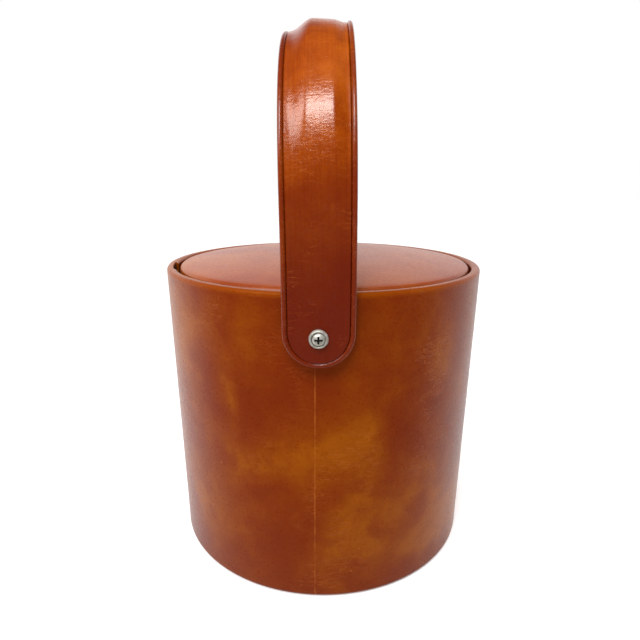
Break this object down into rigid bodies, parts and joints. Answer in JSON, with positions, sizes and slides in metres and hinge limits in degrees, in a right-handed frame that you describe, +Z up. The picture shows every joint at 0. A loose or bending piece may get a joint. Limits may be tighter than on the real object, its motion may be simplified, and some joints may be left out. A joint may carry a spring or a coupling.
{
  "type": "ice bucket",
  "caption": "Round ice bucket covered in padded leatherette, with a lift-off padded lid, an insulated plastic liner and a swinging arched strap handle.",
  "frame": {"origin": "middle of the base, on the surface the bucket stands on", "axes": "+Z up; the handle's pivot axis is parallel to Y, with the front pivot at -Y; the finger notch is at the left, near -X"},
  "size_m": [0.203, 0.2216, 0.3231],
  "materials": {
    "leatherette": "semi-gloss padded leatherette, mottled amber and red-brown",
    "lining_cloth": "matt backing cloth",
    "shell_plastic": "matt moulded plastic",
    "liner_plastic": "smooth moulded plastic",
    "foam": "open-cell foam",
    "fibreboard": "pressed fibreboard",
    "felt": "pressed felt",
    "steel": "satin nickel-plated steel",
    "nylon": "natural nylon"
  },
  "bodies": {
    "bucket": {"base_pad": "felt", "base_panel": "fibreboard", "outer_shell": "shell_plastic", "body_wrap": "leatherette", "foam_base": "foam", "foam_jacket": "foam", "ledge_ring": "fibreboard", "ice_liner": "liner_plastic", "front_backing_plate": "steel", "front_pivot_nut": "steel", "front_pivot_spacer": "nylon", "front_finishing_washer": "steel", "front_pivot_screw": "steel", "back_backing_plate": "steel", "back_pivot_nut": "steel", "back_pivot_spacer": "nylon", "back_finishing_washer": "steel", "back_pivot_screw": "steel"},
    "handle": {"handle_core": "steel", "handle_padding": "foam", "handle_facing": "leatherette", "handle_lining": "lining_cloth", "handle_piping": "leatherette"},
    "lid": {"lid_tray": "liner_plastic", "lid_insulation": "foam", "lid_board": "fibreboard", "lid_foam": "foam", "lid_cover": "leatherette"}
  },
  "joints": [
    {"name": "handle_swing", "type": "hinge", "parent": "bucket", "child": "handle", "pos_m": [0, 0, 0.1618], "axis": [0, 1, 0], "range_deg": [-128, 128]},
    {"name": "lid_lift", "type": "slide", "parent": "bucket", "child": "lid", "axis": [0, 0, 1], "range_m": [0, 0.06]}
  ]
}
